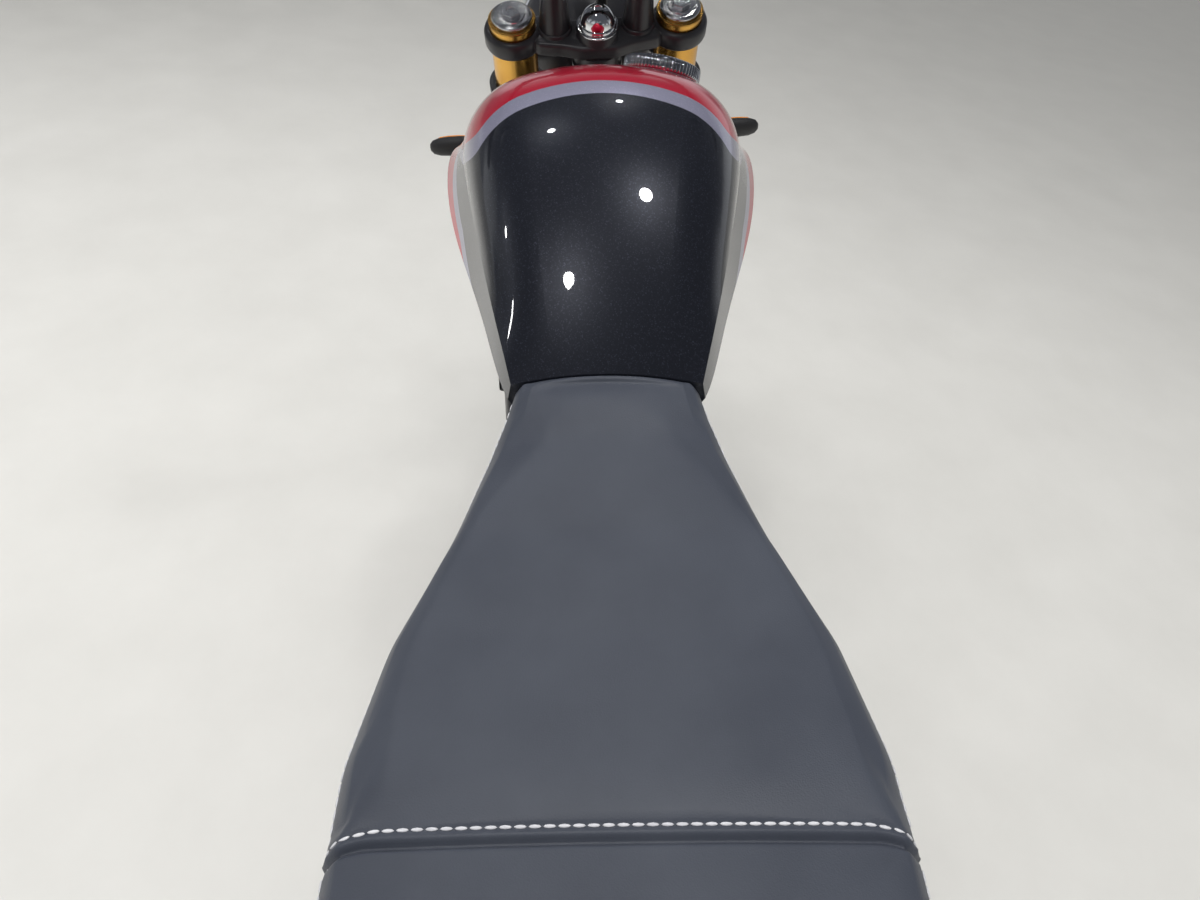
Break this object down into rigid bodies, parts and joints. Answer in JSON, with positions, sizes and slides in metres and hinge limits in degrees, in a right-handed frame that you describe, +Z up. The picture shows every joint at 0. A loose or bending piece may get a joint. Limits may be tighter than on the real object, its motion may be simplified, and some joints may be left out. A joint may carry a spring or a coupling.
{
  "type": "roadster motorcycle",
  "caption": "Two-wheeled roadster motorcycle leaning on its side stand, with flat seat, broad tank, upside-down fork and side silencer.",
  "frame": {"origin": "bottom centre of the whole machine as it stands on the floor, leaning on its side stand", "axes": "+X forward, +Y to the left (the side the machine leans to), +Z up from the floor"},
  "size_m": [1.9881, 0.8114, 1.2529],
  "materials": {
    "black_metal": "satin black",
    "body_paint": "dark metallic",
    "bright_metal": "bright machined",
    "cast_bright": "cast",
    "cast_grey": "cast, dark grey paint",
    "chain_steel": "oiled",
    "chrome": "polished",
    "disc_steel": "ground",
    "exhaust_steel": "heat tinted",
    "frame_paint": "satin black frame paint",
    "gold_anodised": "gold anodised",
    "lens_clear": "clear",
    "lens_red": "red",
    "plastic_black": "grained",
    "rim_black": "satin black cast",
    "rubber": "matt",
    "seat_leather": "matt black",
    "steel": "brushed",
    "tank_paint": "dark metallic with grey and red",
    "tyre_rubber": "matt"
  },
  "bodies": {
    "steering": {"top_yoke": "black_metal", "bottom_yoke": "black_metal", "fork_tubes": "gold_anodised", "fork_caps": "bright_metal", "stem_nut": "chrome", "fork_legs": "bright_metal", "front_axle": "steel", "handlebar_risers": "black_metal", "handlebar": "black_metal", "grips": "rubber", "bar_controls": "plastic_black", "levers": "black_metal", "mirrors": "plastic_black", "headlight_shell": "black_metal", "headlight_lens": "lens_clear", "instrument": "plastic_black", "front_mudguard": "body_paint", "front_caliper": "bright_metal", "front_indicators": "plastic_black"},
    "front_wheel": {"front_rim": "rim_black", "front_tyre": "tyre_rubber", "front_disc": "disc_steel"},
    "chassis": {"frame": "frame_paint", "swingarm": "cast_bright", "rear_axle": "steel", "shock": "steel", "engine_cases": "cast_grey", "cylinder": "cast_grey", "engine_covers": "cast_bright", "radiator": "plastic_black", "exhaust_header": "exhaust_steel", "silencer": "exhaust_steel", "fuel_tank": "tank_paint", "fuel_cap": "chrome", "seat": "seat_leather", "tail_cover": "body_paint", "side_panels": "body_paint", "airbox": "plastic_black", "tail_light": "lens_red", "plate_hanger": "plastic_black", "rear_indicators": "plastic_black", "footrests": "bright_metal", "pedals": "bright_metal", "drive_chain": "chain_steel", "rear_hugger": "plastic_black", "rear_caliper": "bright_metal", "chain_guard": "plastic_black", "throttle_body": "plastic_black", "pillion_hangers": "bright_metal"},
    "rear_wheel": {"rear_rim": "rim_black", "rear_tyre": "tyre_rubber", "rear_disc": "disc_steel", "rear_sprocket": "steel"},
    "side_stand": {"side_stand": "black_metal"}
  },
  "joints": [
    {"name": "steering", "type": "hinge", "parent": "chassis", "child": "steering", "pos_m": [0.45534, -0.02524, 0.78963], "axis": [-0.4163, 0.1108, 0.9025], "range_deg": [-39.8, 30.2]},
    {"name": "front_wheel_spin", "type": "hinge", "parent": "steering", "child": "front_wheel", "pos_m": [0.70176, -0.08533, 0.29015], "axis": [-0.0761, 0.9848, -0.156], "continuous": true},
    {"name": "rear_wheel_spin", "type": "hinge", "parent": "chassis", "child": "rear_wheel", "pos_m": [-0.68019, -0.08483, 0.30433], "axis": [0, 0.9925, -0.1219], "continuous": true},
    {"name": "side_stand_fold", "type": "hinge", "parent": "chassis", "child": "side_stand", "pos_m": [-0.09019, 0.018, 0.18994], "axis": [0.2341, 0.6675, 0.7068], "range_deg": [0, 102.9]}
  ]
}
